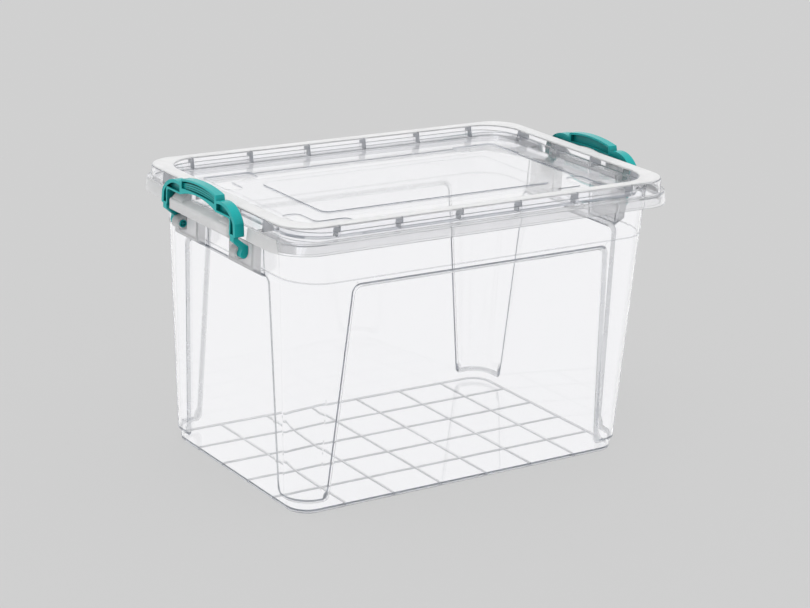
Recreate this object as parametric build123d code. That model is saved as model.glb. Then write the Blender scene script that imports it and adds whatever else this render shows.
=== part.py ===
"""Clear storage box with a recessed lid and two swinging clip handles.

Frame: millimetres, origin under the middle of the floor, X along the long side,
Z up. The box, the lid and each clip are one moulding each. The lid lifts
straight off and each clip swings outwards about its two pegs.
"""

import math
import os

from build123d import *

os.makedirs("parts", exist_ok=True)

# Box body
base_length = 394.0
base_width = 250.0
rim_height = 287.0
wall_draft = 2.95
base_corner = 22.0
base_bevel = 1.2
body_wall = 2.2
floor_wall = 2.4
column_proud = 3.0
band_lip = 0.6
column_foot = 10.5
foot_relief = 0.3
column_rise = 8.5
band_depth = 59.0
panel_corner = 7.0
foot_corner = 7.5
side_column_top = 49.0
side_column_foot = 34.0
end_column_top = 48.5
end_column_foot = 38.0
band_corner = 5.0

# Ribs under the floor
floor_cells_long = 7
floor_cells_wide = 5
floor_rib_width = 1.6
floor_rib_height = 1.6
foot_ring_width = 3.0

# Collar round the body, hidden by the lid's skirt
collar_drop = 10.2
collar_plate = 1.8
collar_lip = 7.0
collar_gap = 1.4

# Lid
lid_end_reach = 16.21
lid_side_reach = 6.41
lid_rise = 7.5
lid_corner = 32.5
lid_wall = 1.8
lid_edge = 1.0
rim_band_height = 13.0
lid_tier_draft = 1.0
lid_step_out = 3.5
skirt_height = 12.5
skirt_flare = 1.5
flange_end_width = 17.0
flange_side_width = 12.0
well_corner = 36.0
well_slope = 3.0
seat_gap = 0.2
rim_slot_gap = 1.0
cheek_lift = 0.5

# Deck in the middle of the lid, and what the next box up stands in
deck_drop = 13.3
deck_wall = 3.0
platform_end_inset = 50.0
platform_side_inset = 48.7
platform_corner = 16.0
platform_drop = 0.9
panel_end_inset = 90.0
panel_side_inset = 85.2
raised_panel_corner = 9.0
panel_rise = 1.0
panel_root = 0.3
recess_outer_insets = (47.0, 41.7)
recess_inner_insets = (67.0, 63.7)
recess_end_insets = (103.0, 96.2)
recess_drop = 1.8
recess_corner = 7.0

# Ribs in the lid's hollow rim
rim_ribs_per_side = 6
rim_rib_inset = 54.25
end_rib_inset = 49.2
end_rib_inner = 30.0
rim_rib_wall = 1.6

# Clip handle
peg_radius = 4.0
arm_to_peg = 22.5
peg_edge = 0.8
peg_hollow = 2.7
peg_hollow_depth = 5.0
peg_cross = 1.2
peg_cross_root = 0.2
cross_set_back = 0.8
bore_gap = 0.25
boss_wall = 2.2
boss_set_back = 1.0
boss_width = 11.0
pivot_reach = 2.5
pivot_drop = 34.5
clip_depth = 10.0
clip_half = 72.5
arm_width = 11.5
arm_rise = 18.5
arm_lean = 1.2
arm_corner = 3.0
arm_tip = 1.6
shoulder_rise = 3.5
shoulder_drop = 14.0
shoulder_bow = (12.0, 2.8)
grip_half = 34.0
grip_step = 1.5
grip_crown_rise = 12.0
grip_end_rise = 8.5
grip_edge = 0.9
arch_half = 35.0
arch_crown_drop = 1.0
foot_gap = 0.8
clip_wall = 2.0
clip_web = 2.0
pocket_bow = (14.5, 5.7)
pocket_shoulder_drop = 15.0
pocket_ease = 1.0
pocket_shoulder_fall = 0.6
grip_ridges = 3
grip_ridge_width = 1.6
grip_ridge_height = 2.0
grip_ridge_root = 0.3
grip_ridge_fall = 0.8
hook_overlap = 1.3
hook_side_gap = 1.0
hook_height = 3.0
leg_width = 7.0
leg_gap = 0.5
leg_wall = 5.0
leg_set_back = 0.3
leg_knees = (2.3, 8.0)
leg_shins = (5.0, 5.5)
leg_waist = 1.2
leg_root = 1.5
leg_bend = 2.2

# Ledge that each clip closes over
ledge_side_gap = 3.0
ledge_reach = 15.0
ledge_drop = 15.0
ledge_height = 12.5
ledge_slope = 1.5
ledge_wall = 2.0
ledge_round = 3.0
lug_inner = 37.0
lug_height = 6.9
lug_flat = 4.6
lug_toe = 3.0
lug_end_gap = 1.0
notch_gap = 5.0

# Pouches on the end walls that carry the bosses
pouch_inner = 30.0
pouch_side_reach = 4.5
pouch_gap = 0.5
pouch_rise = 11.0
pouch_depth = 23.5
pouch_slope = 8.0
pouch_turn = (1.5, 3.0)
pouch_turn_inside = (1.0, 0.5)
pouch_edge = 3.0
pouch_wall = 2.0

overlap = 1.0
cut_spare = 0.2
band_proud = column_proud + band_lip
peg_inner = clip_half - arm_to_peg
wall_slope = math.tan(math.radians(wall_draft))
rim_out = round(rim_height * wall_slope, 2)
panel_top = rim_height - band_depth
side_panel_top_half = base_length / 2 - side_column_top
side_panel_foot_half = base_length / 2 - side_column_foot
end_panel_top_half = base_width / 2 - end_column_top
end_panel_foot_half = base_width / 2 - end_column_foot
collar_level = rim_height - collar_drop
lid_length = base_length + 2 * (rim_out + lid_end_reach)
lid_width = base_width + 2 * (rim_out + lid_side_reach)
lid_top = rim_height + lid_rise
lid_step_level = lid_top - rim_band_height
skirt_foot = lid_step_level - skirt_height
deck_level = lid_top - deck_drop
ledge_half = clip_half - arm_width - ledge_side_gap
ledge_top = lid_top - ledge_drop
ledge_foot = ledge_top - ledge_height
lug_top = ledge_top + lug_height
notch_half = clip_half + notch_gap
pivot_out = lid_length / 2 + pivot_reach
pivot_level = rim_height - pivot_drop
boss_inner = peg_inner + boss_set_back
clip_front = lid_length / 2 + ledge_reach
clip_back = clip_front - clip_depth
clip_foot = lug_top + foot_gap
arm_foot = pivot_level + arm_rise
shoulder_level = lid_top + shoulder_rise
grip_crown = lid_top + grip_crown_rise
grip_end_level = lid_top + grip_end_rise
arch_crown = lid_top - arch_crown_drop
pouch_outer = clip_half + pouch_side_reach
pouch_face = pivot_out - peg_radius - pouch_gap
pouch_top = pivot_level + pouch_rise
pouch_foot = pivot_level - pouch_depth


def body_section(level, grow):
    """Outline of the box wall at a level, grown outwards."""
    out = level * wall_slope + grow
    outline = RectangleRounded(base_length + 2 * out, base_width + 2 * out, base_corner + out)
    return Pos(0, 0, level) * outline


def body_form(low, low_grow, high, high_grow):
    """Drafted solid between two levels, with its own growth at each."""
    spread = (high - low) * wall_slope + high_grow - low_grow
    taper = -math.degrees(math.atan2(spread, high - low))
    return extrude(body_section(low, low_grow), amount=high - low, taper=taper)


def wall_plane(side, inset):
    """Plane on a wall's panel, its normal outwards and its Y up the wall."""
    turn = {"front": (0, -1), "back": (0, 1), "left": (-1, 0), "right": (1, 0)}[side]
    reach = (base_length if turn[0] else base_width) / 2 - inset
    start = (turn[0] * reach, turn[1] * reach, 0)
    return Plane(start, x_dir=(-turn[1], turn[0], 0), z_dir=(turn[0], turn[1], -wall_slope))


def panel_outline(top_half, foot_half, inset):
    """Recessed panel: narrow at the top, open at the foot past the columns."""
    top = panel_top + inset
    foot = column_foot + inset - foot_relief
    top_half += inset
    foot_half += inset
    wide = foot_half + foot_corner + foot_relief
    under = -2 * column_proud
    face = make_face(Polyline(
        (-top_half, top), (top_half, top), (foot_half, foot), (wide, foot),
        (wide, under), (-wide, under), (-wide, foot), (-foot_half, foot), close=True))
    face = fillet(face.vertices().group_by(Axis.Y)[-1], panel_corner)
    turns = [v for v in face.vertices().group_by(Axis.Y)[1] if abs(v.X) < foot_half + foot_relief]
    return fillet(turns, foot_corner)


def panel_cutters(inset):
    """The four panel recesses, with sides that slope out at 45 degrees."""
    cutters = []
    for side in ("front", "back", "left", "right"):
        long_side = side in ("front", "back")
        top_half = side_panel_top_half if long_side else end_panel_top_half
        foot_half = side_panel_foot_half if long_side else end_panel_foot_half
        outline = panel_outline(top_half, foot_half, inset)
        place = wall_plane(side, inset)
        cutters.append(extrude(place * outline, amount=column_proud + 5, taper=-45))
    return cutters


def columns_and_band(inset, top):
    """Proud corner columns and upper band, cut back at the panels."""
    proud = column_proud - inset
    foot = column_foot + inset
    form = body_form(foot, -inset, foot + column_proud, proud)
    form += body_form(foot + column_proud, proud, top, proud)
    for cutter in panel_cutters(inset):
        form -= cutter
    return form


def column_cut(half, sign, top, reach):
    """Space under the band beside a panel, with a rounded upper inner corner."""
    face = Pos(half + reach / 2, top - reach / 2) * Rectangle(reach, reach)
    face = fillet(face.vertices().sort_by(Axis.X)[:2].sort_by(Axis.Y)[-1:], band_corner)
    block = extrude(Plane((0, 0, 0), x_dir=(1, 0, 0), z_dir=(0, -1, 0)) * face, amount=reach, both=True)
    return block if sign > 0 else mirror(block, Plane.YZ)


def band_layer():
    """Thin extra layer of the band, which ends higher over the columns."""
    start = panel_top + column_proud
    layer = body_form(start, column_proud, start + band_lip, band_proud)
    layer += body_form(start + band_lip, band_proud, rim_height, band_proud)
    column_top = panel_top + column_rise
    reach = base_length
    for sign_x in (-1, 1):
        for sign_y in (-1, 1):
            over_side = column_cut(side_panel_top_half, sign_x, column_top, reach)
            over_end = Rot(0, 0, 90) * column_cut(end_panel_top_half, sign_y, column_top, reach)
            layer -= over_side & over_end
    return layer


def floor_ribs():
    """Shallow grid and bevelled outer ring that the box stands on."""
    high = floor_rib_height
    outside = body_form(0, -base_bevel, high, 0)
    inside = extrude(body_section(0, -foot_ring_width), amount=high)
    pitch_x = base_length / floor_cells_long
    pitch_y = base_width / floor_cells_wide
    bars = []
    for i in range(1, floor_cells_long):
        place = Pos(i * pitch_x - base_length / 2, 0, high / 2)
        bars.append(place * Box(floor_rib_width, base_width, high))
    for j in range(1, floor_cells_wide):
        place = Pos(0, j * pitch_y - base_width / 2, high / 2)
        bars.append(place * Box(base_length, floor_rib_width, high))
    grid = bars[0].fuse(*bars[1:])
    return (outside - inside).fuse(grid & outside)


def rounded_form(length, width, corner, low, low_grow, high, high_grow):
    """Drafted rounded block whose outline grows between two levels."""
    section = RectangleRounded(length + 2 * low_grow, width + 2 * low_grow, corner + low_grow)
    taper = -math.degrees(math.atan2(high_grow - low_grow, high - low))
    return extrude(Pos(0, 0, low) * section, amount=high - low, taper=taper)


def lid_form(low, low_grow, high, high_grow):
    """Drafted block on the lid's outer outline."""
    return rounded_form(lid_length, lid_width, lid_corner, low, low_grow, high, high_grow)


def well_form(low, high, grow):
    """Block on the outline of the sunk middle of the lid, narrower downwards."""
    slope = well_slope / (lid_top - deck_level)
    length = lid_length - 2 * flange_end_width
    width = lid_width - 2 * flange_side_width
    low_grow = grow - slope * (lid_top - low)
    high_grow = grow - slope * (lid_top - high)
    return rounded_form(length, width, well_corner, low, low_grow, high, high_grow)


def collar():
    """Flange and down-turned lip that stiffen the rim of the box."""
    reach = lid_step_out + lid_tier_draft - lid_wall - collar_gap
    low = collar_level - collar_lip
    outside = lid_form(low, reach, collar_level + collar_plate, reach)
    hollow = lid_form(low - overlap, reach - collar_plate, collar_level, reach - collar_plate)
    within = column_proud - body_wall / 2
    inside = body_form(low - overlap, within, rim_height, within)
    part = outside - hollow - inside
    gap_half = notch_half + collar_plate + seat_gap
    part -= Pos(0, 0, collar_level) * Box(2 * lid_length, 2 * gap_half, 4 * collar_lip)
    return part


def pouch_profile(inset, rise):
    """Side view in (x, z) of a pouch, or of its inside, with a sloping bottom."""
    root = base_length / 2 + pouch_foot * wall_slope
    face = pouch_face - inset
    turn = (pouch_turn_inside if inset else pouch_turn)[0]
    foot = pouch_foot + inset
    slope = pouch_slope + (pouch_turn_inside[1] if inset else 0)
    top = pouch_top + rise
    return make_face(Polyline(
        (root, foot), (face - turn, foot + slope), (face, foot + pouch_slope + pouch_turn[1]),
        (face, top), (root, top), close=True))


def pouch(sign_x, sign_y):
    """Open-topped gusset and the boss for one peg."""
    width = pouch_outer - pouch_inner
    start = Plane((0, pouch_inner, 0), x_dir=(1, 0, 0), z_dir=(0, -1, 0))
    shell = extrude(start * pouch_profile(0, 0), amount=-width)
    upright = shell.edges().filter_by(Axis.Z).group_by(Axis.X)[-1]
    shell = fillet(upright, pouch_edge)
    start_in = Plane((0, pouch_inner + pouch_wall, 0), x_dir=(1, 0, 0), z_dir=(0, -1, 0))
    shell -= extrude(start_in * pouch_profile(pouch_wall, overlap), amount=-(width - 2 * pouch_wall))
    boss_radius = peg_radius + bore_gap + boss_wall
    boss_plane = Plane((pivot_out, boss_inner, pivot_level), x_dir=(1, 0, 0), z_dir=(0, 1, 0))
    boss = extrude(boss_plane * Circle(boss_radius), amount=boss_width)
    arm_depth = pivot_out - pouch_face + pouch_wall
    boss += Pos(pivot_out - arm_depth / 2, boss_inner + boss_width / 2, pivot_level) * Box(
        arm_depth, boss_width, 2 * boss_radius)
    bore = extrude(boss_plane * Circle(peg_radius + bore_gap), amount=boss_width)
    part = shell + boss - bore
    if sign_y < 0:
        part = mirror(part, Plane.XZ)
    if sign_x < 0:
        part = mirror(part, Plane.YZ)
    return part


def box_body():
    outer = body_form(floor_rib_height, 0, rim_height, 0)
    outer += columns_and_band(0, rim_height)
    outer += band_layer()
    outer += collar()
    for sign_x in (-1, 1):
        for sign_y in (-1, 1):
            outer += pouch(sign_x, sign_y)
    floor_top = floor_rib_height + floor_wall
    cavity = body_form(floor_top, -body_wall, rim_height + overlap, -body_wall)
    cavity += columns_and_band(body_wall, rim_height + overlap)
    return outer - cavity + floor_ribs()


def rim_ribs():
    """Cross ribs in the lid's hollow rim, slotted for the rim of the box."""
    blocks = []
    height = lid_top - lid_step_level
    middle = (lid_top + lid_step_level) / 2
    pitch = (lid_length - 2 * rim_rib_inset) / (rim_ribs_per_side - 1)
    for i in range(rim_ribs_per_side):
        x = rim_rib_inset - lid_length / 2 + i * pitch
        blocks.append(Pos(x, 0, middle) * Box(rim_rib_wall, lid_width, height))
    for y in (end_rib_inner, lid_width / 2 - end_rib_inset):
        for sign in (-1, 1):
            blocks.append(Pos(0, sign * y, middle) * Box(lid_length, rim_rib_wall, height))
    ribs = blocks[0].fuse(*blocks[1:])
    ring = lid_form(lid_step_level, lid_tier_draft - lid_wall / 2, lid_top - lid_wall / 2, -lid_wall / 2)
    ring -= well_form(lid_step_level, lid_top, lid_wall / 2)
    slot_level = rim_height + seat_gap
    low = lid_step_level - overlap
    out = band_proud + rim_slot_gap
    into = column_proud - body_wall - rim_slot_gap
    slot = body_form(low, out, slot_level, out)
    slot -= body_form(low, into, slot_level, into)
    return (ribs & ring) - slot


def ledge(sign_x):
    """Hollow ledge at a lid end, with a raised lug under each clip foot."""
    root = lid_length / 2 - overlap / 2
    front = lid_length / 2 + ledge_reach
    outline = make_face(Polyline(
        (root, ledge_top), (front, ledge_top - ledge_slope), (front, ledge_foot), (root, ledge_foot), close=True))
    start = Plane((0, -ledge_half, 0), x_dir=(1, 0, 0), z_dir=(0, -1, 0))
    bar = extrude(start * outline, amount=-2 * ledge_half)
    bar = fillet(bar.faces().sort_by(Axis.X)[-1].edges(), ledge_round)
    roof = ledge_top - ledge_wall
    inner = make_face(Polyline(
        (root - overlap, roof), (front - ledge_wall, roof - ledge_slope),
        (front - ledge_wall, ledge_foot - overlap), (root - overlap, ledge_foot - overlap), close=True))
    start_in = Plane((0, -ledge_half + ledge_wall, 0), x_dir=(1, 0, 0), z_dir=(0, -1, 0))
    bar -= extrude(start_in * inner, amount=-2 * (ledge_half - ledge_wall))
    sunk = ledge_top - overlap
    lug_profile = make_face(Polyline(
        (root, sunk), (root, lug_top), (lid_length / 2 + lug_flat, lug_top), (front - lug_toe, sunk), close=True))
    lug_outer = ledge_half - lug_end_gap
    for near in (lug_inner, -lug_outer):
        lug_start = Plane((0, near, 0), x_dir=(1, 0, 0), z_dir=(0, -1, 0))
        bar += extrude(lug_start * lug_profile, amount=-(lug_outer - lug_inner))
    return bar if sign_x > 0 else mirror(bar, Plane.YZ)


def corner_recess(sign_x, sign_y):
    """L-shaped recess near one corner of the deck, for the feet of the next box."""
    half = (lid_length / 2, lid_width / 2)
    outer_x, outer_y = (h - inset for h, inset in zip(half, recess_outer_insets))
    inner_x, inner_y = (h - inset for h, inset in zip(half, recess_inner_insets))
    end_x, end_y = (h - inset for h, inset in zip(half, recess_end_insets))
    face = make_face(Polyline(
        (end_x, outer_y), (outer_x, outer_y), (outer_x, end_y), (inner_x, end_y),
        (inner_x, inner_y), (end_x, inner_y), close=True))
    face = Pos(0, 0, deck_level + overlap) * fillet(face.vertices(), recess_corner)
    block = extrude(face, amount=-recess_drop - overlap)
    if sign_y < 0:
        block = mirror(block, Plane.XZ)
    return block if sign_x > 0 else mirror(block, Plane.YZ)


def deck_relief(form):
    """Sunk platform with deeper corner recesses and a raised middle panel."""
    platform = RectangleRounded(
        lid_length - 2 * platform_end_inset, lid_width - 2 * platform_side_inset, platform_corner)
    form -= extrude(Pos(0, 0, deck_level + overlap) * platform, amount=-platform_drop - overlap)
    for sign_x in (-1, 1):
        for sign_y in (-1, 1):
            form -= corner_recess(sign_x, sign_y)
    panel = RectangleRounded(
        lid_length - 2 * panel_end_inset, lid_width - 2 * panel_side_inset, raised_panel_corner)
    panel_foot = deck_level - platform_drop - panel_root
    return form + extrude(Pos(0, 0, panel_foot) * panel, amount=panel_rise + panel_root)


def lid():
    inner_step = lid_step_level - lid_wall
    upper = lid_form(inner_step, lid_tier_draft, lid_top, 0)
    upper = chamfer(upper.faces().sort_by(Axis.Z)[-1].edges(), lid_edge)
    skirt_grow = lid_tier_draft + lid_step_out
    form = upper + lid_form(skirt_foot, skirt_grow + skirt_flare, lid_step_level, skirt_grow)
    low = skirt_foot - overlap
    hollow = lid_form(low, skirt_grow + skirt_flare - lid_wall, inner_step, skirt_grow - lid_wall)
    hollow += lid_form(low, lid_tier_draft - lid_wall, lid_top - lid_wall, -lid_wall)
    form -= hollow - well_form(deck_level - deck_wall, lid_top, lid_wall)
    form -= well_form(deck_level, lid_top + overlap, 0)
    notch = Pos(0, 0, low) * Box(2 * lid_length, 2 * notch_half, 2 * (inner_step - low))
    form -= notch - lid_form(low, lid_tier_draft - lid_wall, lid_top, lid_tier_draft - lid_wall)
    step_cut = Pos(0, 0, lid_step_level - lid_wall / 2) * Box(2 * lid_length, 2 * notch_half, lid_wall + 2 * cut_spare)
    form -= step_cut - upper
    form = deck_relief(form) + rim_ribs()
    cheek_depth = lid_tier_draft + lid_step_out + lid_wall
    height = lid_step_level - skirt_foot - cheek_lift
    for sign_x in (-1, 1):
        form += ledge(sign_x)
        for sign_y in (-1, 1):
            x = sign_x * (lid_length / 2 - lid_wall + cheek_depth / 2)
            y = sign_y * (notch_half + lid_wall / 2)
            form += Pos(x, y, lid_step_level - height / 2) * Box(cheek_depth, lid_wall, height)
    return form


def clip_outline():
    """Outer outline of a clip seen from the end of the box, in (y, z)."""
    grip_top = ThreePointArc((-grip_half, grip_end_level), (0, grip_crown), (grip_half, grip_end_level))
    inner_arm = clip_half - arm_width
    shoulder = (grip_half + grip_step, shoulder_level)
    bow = (clip_half - shoulder_bow[0], shoulder_level - shoulder_bow[1])
    elbow = (clip_half - arm_lean, shoulder_level - shoulder_drop)
    right = [
        Line((grip_half, grip_end_level), shoulder),
        ThreePointArc(shoulder, bow, elbow),
        Line(elbow, (clip_half, arm_foot)),
        Line((clip_half, arm_foot), (inner_arm, arm_foot)),
        Line((inner_arm, arm_foot), (inner_arm, clip_foot)),
        Line((inner_arm, clip_foot), (arch_half, clip_foot)),
    ]
    left = [edge.mirror(Plane.YZ) for edge in right]
    arch = ThreePointArc((arch_half, clip_foot), (0, arch_crown), (-arch_half, clip_foot))
    face = make_face([grip_top, *right, arch, *left])
    corners = face.vertices().filter_by(lambda v: math.isclose(abs(v.X), inner_arm) and math.isclose(v.Y, clip_foot))
    face = fillet(corners, arm_corner)
    tips = face.vertices().filter_by(lambda v: math.isclose(v.Y, arm_foot))
    return fillet(tips, arm_tip)


def clip_pockets():
    """Pockets between the flanges: grip first, then one on each arm."""
    wall = clip_wall
    low = (clip_foot + shoulder_level) / 2 + grip_step
    half = grip_half - wall
    end = grip_end_level - wall
    grip = make_face([
        ThreePointArc((-half, end), (0, grip_crown - wall), (half, end)),
        Line((half, end), (half, low)),
        ThreePointArc((half, low), (0, arch_crown + wall), (-half, low)),
        Line((-half, low), (-half, end)),
    ])
    inner = clip_half - arm_width + wall
    outer = clip_half - 2 * wall
    near = grip_half + wall
    foot = clip_foot + wall
    tip = arm_foot + wall
    elbow = (outer - pocket_ease, shoulder_level - pocket_shoulder_drop)
    shoulder = (near, shoulder_level - wall - pocket_shoulder_fall)
    bow = (clip_half - pocket_bow[0], shoulder_level - pocket_bow[1])
    arm = make_face([
        Line((near, foot), (inner - pocket_ease, foot)),
        Line((inner - pocket_ease, foot), (inner, clip_foot + pocket_ease / 2)),
        Line((inner, clip_foot + pocket_ease / 2), (inner, tip)),
        Line((inner, tip), (outer, tip)),
        Line((outer, tip), elbow),
        ThreePointArc(elbow, bow, shoulder),
        Line(shoulder, (near, foot)),
    ])
    return [grip, arm, mirror(arm, Plane.YZ)]


def grip_ridge(index, front, pocket_depth):
    """One curved anti-slip ridge on the floor of the grip's front pocket."""
    room = grip_crown - arch_crown - 2 * clip_wall
    drop = (index + 1) * room / (grip_ridges + 1)
    half = grip_half - clip_wall + grip_ridge_root
    crown = grip_crown - clip_wall - drop
    end = grip_end_level - clip_wall - drop * grip_ridge_fall
    width = grip_ridge_width
    face = make_face([
        ThreePointArc((-half, end), (0, crown), (half, end)),
        Line((half, end), (half, end - width)),
        ThreePointArc((-half, end - width), (0, crown - width), (half, end - width)),
        Line((-half, end - width), (-half, end)),
    ])
    start = front.offset(pocket_depth - grip_ridge_height)
    return extrude(start * face, amount=grip_ridge_height + grip_ridge_root)


def leg_and_peg():
    """S-shaped leg from the arm to the pivot, and its inward peg, on the +Y side."""
    leg_start = boss_inner + boss_width + leg_gap
    half = leg_wall / 2
    top_x = half + leg_set_back - clip_front
    shape = make_face(Polyline(
        (top_x - half, arm_foot + leg_root), (top_x + half, arm_foot + leg_root),
        (top_x + half, arm_foot - leg_knees[0]), (peg_radius - pivot_out, pivot_level + leg_knees[1]),
        (peg_radius - pivot_out, pivot_level), (-peg_radius - pivot_out, pivot_level),
        (leg_waist - peg_radius - pivot_out, pivot_level + leg_shins[1]), (top_x - half, arm_foot - leg_shins[0]),
        close=True))
    bends = shape.vertices().filter_by(lambda v: pivot_level + leg_bend / 2 < v.Y < arm_foot)
    shape = fillet(bends, leg_bend)
    start = Plane((0, leg_start, 0), x_dir=(1, 0, 0), z_dir=(0, -1, 0))
    leg = extrude(start * shape, amount=-leg_width)
    axis_plane = Plane((-pivot_out, peg_inner, pivot_level), x_dir=(1, 0, 0), z_dir=(0, 1, 0))
    peg = extrude(axis_plane * Circle(peg_radius), amount=leg_start + leg_width - peg_inner)
    peg = chamfer(peg.edges().sort_by(Axis.Y)[-1:], peg_edge)
    part = leg + peg - extrude(axis_plane * Circle(peg_hollow), amount=peg_hollow_depth)
    depth = peg_hollow_depth - cross_set_back
    across = 2 * (peg_hollow + peg_cross_root)
    cross = Box(across, depth, peg_cross) + Box(peg_cross, depth, across)
    return part + Pos(-pivot_out, peg_inner + cross_set_back + depth / 2, pivot_level) * cross


def clip_left():
    """One clip handle at the -X end: H-section bail, S-shaped legs and pegs."""
    front = Plane((-clip_front, 0, 0), x_dir=(0, 1, 0), z_dir=(1, 0, 0))
    back = Plane((-clip_back, 0, 0), x_dir=(0, 1, 0), z_dir=(1, 0, 0))
    bail = extrude(front * clip_outline(), amount=clip_depth)
    grip_edges = bail.faces().sort_by(Axis.X)[0].edges().filter_by(lambda e: e.center().Z > shoulder_level + grip_edge)
    bail = fillet(grip_edges, grip_edge)
    pocket_depth = (clip_depth - clip_web) / 2
    pockets = clip_pockets()
    for pocket in pockets:
        bail -= extrude(front * pocket, amount=pocket_depth)
    bail -= extrude(back * pockets[0], amount=-pocket_depth)
    for i in range(grip_ridges):
        bail += grip_ridge(i, front, pocket_depth)
    hook_tip = lid_length / 2 + lug_flat - hook_overlap
    hook_depth = clip_back - hook_tip + overlap
    hook_width = ledge_half - lug_inner - lug_end_gap - 2 * hook_side_gap
    leg = leg_and_peg()
    for sign in (-1, 1):
        place = Pos(-(clip_back + hook_tip) / 2, sign * (ledge_half + lug_inner) / 2, clip_foot + hook_height / 2)
        bail += place * Box(hook_depth, hook_width, hook_height)
        bail += leg if sign > 0 else mirror(leg, Plane.XZ)
    return bail


left = clip_left()
nodes = {
    "box_body": box_body(),
    "lid": lid(),
    "clip_left": left,
    "clip_right": mirror(left, Plane.YZ),
}
for name, shape in nodes.items():
    solids = shape.solids()
    print(name, len(solids), round(shape.volume), shape.bounding_box())
    export_step(shape, f"parts/{name}.step")
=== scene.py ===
import math

import bpy
from mathutils import Matrix, Vector

# Clear storage box with teal clips, on a pale studio floor
# Sizes are in metres, and a name that ends in Mm is in millimetres
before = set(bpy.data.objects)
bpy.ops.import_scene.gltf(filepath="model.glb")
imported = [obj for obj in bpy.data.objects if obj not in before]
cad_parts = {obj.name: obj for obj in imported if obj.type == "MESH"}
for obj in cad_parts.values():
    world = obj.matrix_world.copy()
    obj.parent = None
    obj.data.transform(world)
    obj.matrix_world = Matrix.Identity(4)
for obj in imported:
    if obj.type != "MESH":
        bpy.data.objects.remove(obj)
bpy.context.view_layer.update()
scene = bpy.context.scene
scene.view_settings.view_transform = "Standard"
print("frame loaded:", sorted(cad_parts))


def hexColour(code):
    # sRGB hex to the linear colour that the shaders take
    parts = [int(code[i:i + 2], 16) / 255 for i in (1, 3, 5)]
    linear = [c / 12.92 if c <= 0.04045 else ((c + 0.055) / 1.055) ** 2.4 for c in parts]
    return (*linear, 1.0)


def addNode(tree, kind, settings=None, **links):
    # settings are the node's own values, and links are nodes, sockets or plain values by input name
    node = tree.nodes.new(kind)
    for key, value in (settings or {}).items():
        setattr(node, key, value)
    for key, value in links.items():
        name = key.replace("_", " ")
        socket = node.inputs[int(name[5:])] if name.startswith("input") else node.inputs[name]
        if isinstance(value, bpy.types.Node):
            value = value.outputs[0]
        if isinstance(value, bpy.types.NodeSocket):
            tree.links.new(value, socket)
        else:
            socket.default_value = value
    return node


def newMaterial(name):
    material = bpy.data.materials.new(name)
    material.use_nodes = True
    material.node_tree.nodes.clear()
    return material, material.node_tree


# Camera at the photograph's angle, aimed at a point on the box's upright axis
cameraSet = {
    "focalPixels": 2264.91,
    "imageWidth": 810,
    "sensorWidth": 36,
    "azimuth": -34.69,
    "elevation": 17.59,
    "roll": 2.55,
    "distance": 2.34378,
    "sideways": 0.00355,
    "upwards": 0.02040,
    "aimHeight": 0.130,
    "farClip": 60,
}


def makeCamera(s):
    azimuth, elevation, roll = (math.radians(s[angle]) for angle in ("azimuth", "elevation", "roll"))
    back = Vector((math.sin(azimuth) * math.cos(elevation),
                   -math.cos(azimuth) * math.cos(elevation), math.sin(elevation)))
    right = Vector((math.cos(azimuth), math.sin(azimuth), 0))
    up = back.cross(right)
    across = math.cos(roll) * right + math.sin(roll) * up
    above = math.cos(roll) * up - math.sin(roll) * right
    place = Vector((0, 0, s["aimHeight"])) + back * s["distance"]
    place += across * s["sideways"] + above * s["upwards"]
    camera = bpy.data.objects.new("camera", bpy.data.cameras.new("camera"))
    scene.collection.objects.link(camera)
    turn = Matrix((across, above, back)).transposed().to_4x4()
    camera.matrix_world = Matrix.Translation(place) @ turn
    camera.data.sensor_width = s["sensorWidth"]
    camera.data.lens = s["focalPixels"] * s["sensorWidth"] / s["imageWidth"]
    camera.data.clip_end = s["farClip"]
    scene.camera = camera


makeCamera(cameraSet)
print("camera placed")

# Plain studio: pale grey floor and backdrop, even light from all round and one soft lamp above
studioSet = {
    "backdrop": "#D0D0D0",
    "white": "#FFFFFF",
    "roomLight": 0.90,
    "throughLight": 0.93,    # what clear plastic shows of the room
    "mirrorLight": 0.93,     # what gloss shows of it
    "evenShare": 0.88,       # how much of the floor the camera sees without the shadow
    "lampShare": 0.12,
    "lampTilt": 25,
    "lampTurn": -60,
    "lampSoftness": 60,
    "floorSize": 40,
}


def showRoom(tree, kind, surface, rays, s):
    # gloss and clear plastic see a white room, whatever the camera sees
    for ray, strength in (("Is Glossy Ray", "mirrorLight"), ("Is Transmission Ray", "throughLight")):
        glow = addNode(tree, kind, Color=hexColour(s["white"]), Strength=s[strength])
        surface = addNode(tree, "ShaderNodeMixShader", input0=rays[ray], input1=surface, input2=glow)
    return surface


def makeRoom(s):
    world = bpy.data.worlds.new("studioRoom")
    scene.world = world
    world.use_nodes = True
    tree = world.node_tree
    tree.nodes.clear()
    rays = addNode(tree, "ShaderNodeLightPath").outputs
    light = addNode(tree, "ShaderNodeBackground", Color=hexColour(s["white"]), Strength=s["roomLight"])
    light = showRoom(tree, "ShaderNodeBackground", light, rays, s)
    seen = addNode(tree, "ShaderNodeBackground", Color=hexColour(s["backdrop"]))
    room = addNode(tree, "ShaderNodeMixShader", input0=rays["Is Camera Ray"], input1=light, input2=seen)
    addNode(tree, "ShaderNodeOutputWorld", Surface=room)


def makeLamp(s):
    lamp = bpy.data.lights.new("softLamp", "SUN")
    tilt = math.radians(s["lampTilt"])
    lamp.energy = s["lampShare"] * math.pi / math.cos(tilt)    # lampShare is what reaches the floor
    lamp.angle = math.radians(s["lampSoftness"])
    lampObject = bpy.data.objects.new("softLamp", lamp)
    scene.collection.objects.link(lampObject)
    lampObject.rotation_euler = (tilt, 0, math.radians(s["lampTurn"]))


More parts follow.
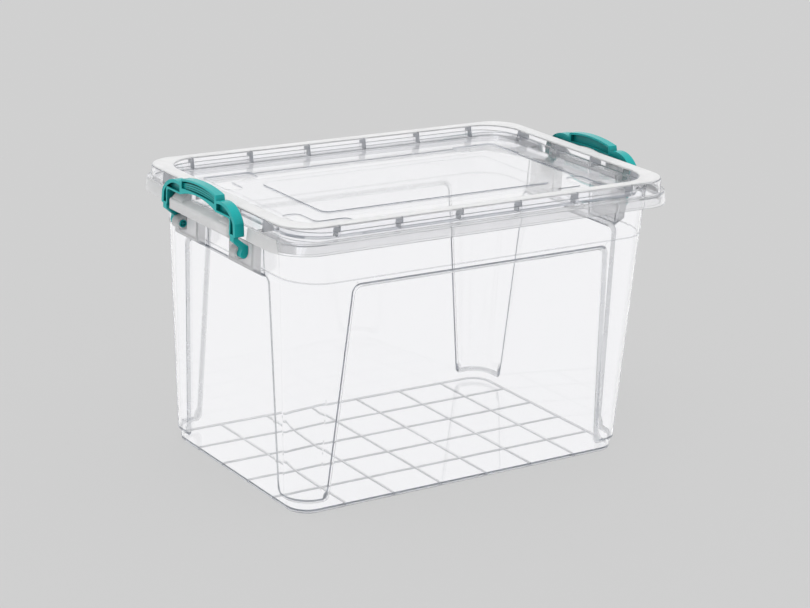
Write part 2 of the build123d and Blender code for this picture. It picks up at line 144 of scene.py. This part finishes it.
def makeFloor(s):
    bpy.ops.mesh.primitive_plane_add(size=s["floorSize"])
    floor = bpy.context.object
    floor.name = "floor"
    # matt paint, seen by the camera as mostly plain backdrop colour, with a faint shadow under the box
    material, tree = newMaterial("mattPaintedFloor")
    rays = addNode(tree, "ShaderNodeLightPath").outputs
    paint = addNode(tree, "ShaderNodeBsdfDiffuse", Color=hexColour(s["backdrop"]))
    paint = showRoom(tree, "ShaderNodeEmission", paint, rays, s)
    even = addNode(tree, "ShaderNodeEmission", Color=hexColour(s["backdrop"]))
    share = addNode(tree, "ShaderNodeMath", {"operation": "MULTIPLY"},
                    input0=rays["Is Camera Ray"], input1=s["evenShare"])
    paint = addNode(tree, "ShaderNodeMixShader", input0=share, input1=paint, input2=even)
    addNode(tree, "ShaderNodeOutputMaterial", Surface=paint)
    floor.data.materials.append(material)


makeRoom(studioSet)
makeLamp(studioSet)
makeFloor(studioSet)
print("studio lit")

# Natural polypropylene, injection moulded. Walls shaped by polished steel come out nearly clear, so the eye
# gets thin grey lines at every border. Rims, ribs and ledges are thicker or matt, and come out milky.
clearSet = {
    "tint": "#FEFEFF",
    "roughness": 0.02,
    "refraction": 1.45,      # a little under the usual 1.49, which keeps the lines thin
    "flowMm": 60,            # slow waves of the melt's flow
    "flowDetail": 1.0,
    "flowDepth": 0.00002,
    "greyColour": "#DDE2EA",
    "haze": 0.008,           # grey of a wall seen straight on
    "grazeStart": 0.82,      # painted shade: at a grazing angle the wall is painted grey, standing in for the lines refraction draws
    "grazeShare": 0.70,
    "pipeStart": 0.30,       # light caught inside a wall is piped along it and leaks out as a soft glow
    "pipeEdge": 0.02,
    "pipeShare": 0.50,
    "cloudMm": 30,           # patches of thinner milk
    "cloudDetail": 3.0,
    "cloudRange": (0.3, 0.7),
    "cloudThin": 0.85,
    "milkThrough": 0.25,     # share of the milk's light that comes from behind it
}


def milkyZone(tree, measures, zone):
    # how milky each point is: full inside the zone's limits, none outside, with short soft edges
    amount = zone["milk"]
    for measure, (low, high, edge) in zone["limits"].items():
        for start, ends in ((low, (0.0, 1.0)), (high, (1.0, 0.0))):
            if start is not None:
                inside = addNode(tree, "ShaderNodeMapRange", Value=measures[measure], From_Min=start,
                                 From_Max=start + edge, To_Min=ends[0], To_Max=ends[1])
                amount = addNode(tree, "ShaderNodeMath", {"operation": "MULTIPLY"},
                                 input0=inside, input1=amount)
    return amount


def addHazeAndPaintedShade(tree, surface, s):
    # the plastic's own faint haze grey, plus painted shade: more grey at grazing angles, standing in for the
    # lines that refraction draws at the borders, and grey painted on inner faces for light piped along the
    # wall
    graze = addNode(tree, "ShaderNodeLayerWeight").outputs["Facing"]
    paintedEdgeShade = addNode(tree, "ShaderNodeMapRange", Value=graze, From_Min=s["grazeStart"], From_Max=1.0,
                      To_Min=s["haze"], To_Max=s["grazeShare"])
    caught = addNode(tree, "ShaderNodeMapRange", Value=graze, From_Min=s["pipeStart"],
                     From_Max=s["pipeStart"] + s["pipeEdge"], To_Max=s["pipeShare"])
    fromInside = addNode(tree, "ShaderNodeNewGeometry").outputs["Backfacing"]
    piped = addNode(tree, "ShaderNodeMath", {"operation": "MULTIPLY"}, input0=fromInside, input1=caught)
    share = addNode(tree, "ShaderNodeMath", {"operation": "MAXIMUM"}, input0=paintedEdgeShade, input1=piped)
    grey = addNode(tree, "ShaderNodeBsdfDiffuse", Color=hexColour(s["greyColour"]))
    return addNode(tree, "ShaderNodeMixShader", input0=share, input1=surface, input2=grey)


def addMilk(tree, surface, place, measures, s):
    cloud = addNode(tree, "ShaderNodeTexNoise", Vector=place,
                    Scale=1000 / s["cloudMm"], Detail=s["cloudDetail"])
    cloud = addNode(tree, "ShaderNodeMapRange", Value=cloud, From_Min=s["cloudRange"][0],
                    From_Max=s["cloudRange"][1], To_Min=s["cloudThin"])
    for layer in s["milkLayers"]:
        amount = 0.0
        for zone in layer["zones"]:
            amount = addNode(tree, "ShaderNodeMath", {"operation": "MAXIMUM"},
                             input0=milkyZone(tree, measures, zone), input1=amount)
        amount = addNode(tree, "ShaderNodeMath", {"operation": "MULTIPLY"}, input0=amount, input1=cloud)
        front = addNode(tree, "ShaderNodeBsdfDiffuse", Color=hexColour(layer["colour"]))
        behind = addNode(tree, "ShaderNodeBsdfTranslucent", Color=hexColour(layer["colour"]))
        milk = addNode(tree, "ShaderNodeMixShader", input0=s["milkThrough"], input1=front, input2=behind)
        surface = addNode(tree, "ShaderNodeMixShader", input0=amount, input1=surface, input2=milk)
    return surface


def clearPlastic(name, s):
    material, tree = newMaterial(name)
    coordinates = addNode(tree, "ShaderNodeTexCoord").outputs
    place = coordinates["Object"]
    axes = addNode(tree, "ShaderNodeSeparateXYZ", Vector=place).outputs
    facing = addNode(tree, "ShaderNodeSeparateXYZ", Vector=coordinates["Normal"]).outputs
    # the box is the same on both sides of its middle, so those measures lose their sign
    measures = {"height": axes["Z"]}
    for measure, signed in (("x", axes["X"]), ("y", axes["Y"]), ("faceX", facing["X"]),
                            ("faceY", facing["Y"]), ("faceZ", facing["Z"])):
        measures[measure] = addNode(tree, "ShaderNodeMath", {"operation": "ABSOLUTE"}, input0=signed)

    flow = addNode(tree, "ShaderNodeTexNoise", Vector=place,
                   Scale=1000 / s["flowMm"], Detail=s["flowDetail"])
    bump = addNode(tree, "ShaderNodeBump", Height=flow, Strength=1.0, Distance=s["flowDepth"])
    surface = addNode(tree, "ShaderNodeBsdfPrincipled", Base_Color=hexColour(s["tint"]),
                      Roughness=s["roughness"], IOR=s["refraction"], Transmission_Weight=1.0, Normal=bump)
    surface = addHazeAndPaintedShade(tree, surface, s)
    surface = addMilk(tree, surface, place, measures, s)
    addNode(tree, "ShaderNodeOutputMaterial", Surface=surface)
    return material


# Where each piece is milky. A zone's limits give each measure's lowest and highest value and the width of its
# soft edge: x and y from the middle, height from the floor, and how squarely a face looks along each axis.
boxSet = dict(clearSet, milkLayers=[
    {"colour": "#FFFFFF", "zones": [
        # pouches that carry the pegs
        {"milk": 0.42, "limits": {"x": (0.2165, None, 0.0006)}},
    ]},
    {"colour": "#E6E9EE", "zones": [
        # sloped borders of the wall panels, on the long walls, the end walls and at their tops and feet
        {"milk": 0.30, "limits": {"faceX": (0.30, 0.95, 0.03), "x": (None, 0.1735, 0.0006),
                                  "height": (0.0045, None, 0.0006)}},
        {"milk": 0.30, "limits": {"faceY": (0.30, 0.95, 0.03), "y": (None, 0.1020, 0.0006),
                                  "x": (None, 0.2165, 0.0006), "height": (0.0045, None, 0.0006)}},
        {"milk": 0.30, "limits": {"faceZ": (0.40, 0.93, 0.03), "x": (None, 0.2165, 0.0006),
                                  "height": (0.0045, None, 0.0006)}},
        # foot of the band round the top
        {"milk": 0.30, "limits": {"height": (0.2362, 0.2374, 0.0004), "x": (None, 0.2165, 0.0006)}},
        # ribs under the floor
        {"milk": 0.50, "limits": {"height": (None, 0.0014, 0.0001)}},
    ]},
])
lidSet = dict(clearSet, milkLayers=[
    {"colour": "#F2F4F8", "zones": [
        # cross ribs in the hollow rim, along the sides and at the ends
        {"milk": 0.85, "limits": {"height": (0.2790, 0.2930, 0.0006), "y": (0.1280, None, 0.0006),
                                  "faceX": (0.97, None, 0.02), "x": (None, 0.1800, 0.0006)}},
        {"milk": 0.85, "limits": {"height": (0.2790, 0.2930, 0.0006), "x": (0.2060, None, 0.0006),
                                  "faceY": (0.97, None, 0.02), "y": (None, 0.1050, 0.0006)}},
    ]},
    {"colour": "#FFFFFF", "zones": [
        # skirt below the rim, then the ledges that the clips close over
        {"milk": 0.22, "limits": {"height": (None, 0.2815, 0.0006), "x": (0.2275, None, 0.0006)}},
        {"milk": 0.22, "limits": {"height": (None, 0.2815, 0.0006), "y": (0.1457, None, 0.0006)}},
        {"milk": 0.70, "limits": {"x": (0.2300, None, 0.0006)}},
    ]},
    {"colour": "#FFFFFF", "zones": [
        # flat top of the rim
        {"milk": 1.00, "limits": {"height": (0.2915, None, 0.0006), "faceZ": (0.90, None, 0.05)}},
    ]},
])

# Teal polypropylene, injection moulded against fine spark-eroded steel: a satin gloss with soft highlights,
# colour that drifts a little with the melt's flow, and painted shade that darkens the colour in the pockets
clipSet = {
    "colour": "#06B8B6",
    "driftColour": "#04A9A8",
    # painted shade: the dark teal that the pockets' colour is mixed towards, and how far the occlusion looks
    "paintedPocketShade": "#00373C",
    "paintedShadeReach": 0.020,
    "roughness": 0.25,
    "refraction": 1.49,
    "gloss": 0.3,
    "driftMm": 12,
    "grainMm": 1.2,          # the real grain is about 0.3 mm, and is drawn coarser so that it shows
    "noiseDetail": 2.0,
    "grainDepth": 0.00001,
}


def tealPlastic(name, s):
    material, tree = newMaterial(name)
    place = addNode(tree, "ShaderNodeTexCoord").outputs["Object"]
    drift = addNode(tree, "ShaderNodeTexNoise", Vector=place,
                    Scale=1000 / s["driftMm"], Detail=s["noiseDetail"])
    colour = addNode(tree, "ShaderNodeMix", {"data_type": "RGBA"}, input0=drift,
                     input6=hexColour(s["driftColour"]), input7=hexColour(s["colour"])).outputs[2]
    # painted shade: the colour is darkened where ambient occlusion finds the pockets between the webs
    openness = addNode(tree, "ShaderNodeAmbientOcclusion", Distance=s["paintedShadeReach"]).outputs["AO"]
    colour = addNode(tree, "ShaderNodeMix", {"data_type": "RGBA"}, input0=openness,
                     input6=hexColour(s["paintedPocketShade"]), input7=colour).outputs[2]
    grain = addNode(tree, "ShaderNodeTexNoise", Vector=place,
                    Scale=1000 / s["grainMm"], Detail=s["noiseDetail"])
    bump = addNode(tree, "ShaderNodeBump", Height=grain, Strength=1.0, Distance=s["grainDepth"])
    skin = addNode(tree, "ShaderNodeBsdfPrincipled", Base_Color=colour, Roughness=s["roughness"],
                   IOR=s["refraction"], Specular_IOR_Level=s["gloss"], Normal=bump)
    addNode(tree, "ShaderNodeOutputMaterial", Surface=skin)
    return material


tealClip = tealPlastic("tealMouldedPolypropylene", clipSet)
finishes = {
    "box_body": clearPlastic("clearMouldedPolypropyleneBox", boxSet),
    "lid": clearPlastic("clearMouldedPolypropyleneLid", lidSet),
    "clip_left": tealClip,
    "clip_right": tealClip,
}
for name, finish in finishes.items():
    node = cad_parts[name]
    node.data.materials.clear()
    node.data.materials.append(finish)
print("materials set")

# light crosses many thin clear walls before it reaches the camera
wallBounces = 40
clearBounces = 64
scene.cycles.max_bounces = wallBounces
scene.cycles.transmission_bounces = wallBounces
scene.cycles.transparent_max_bounces = clearBounces
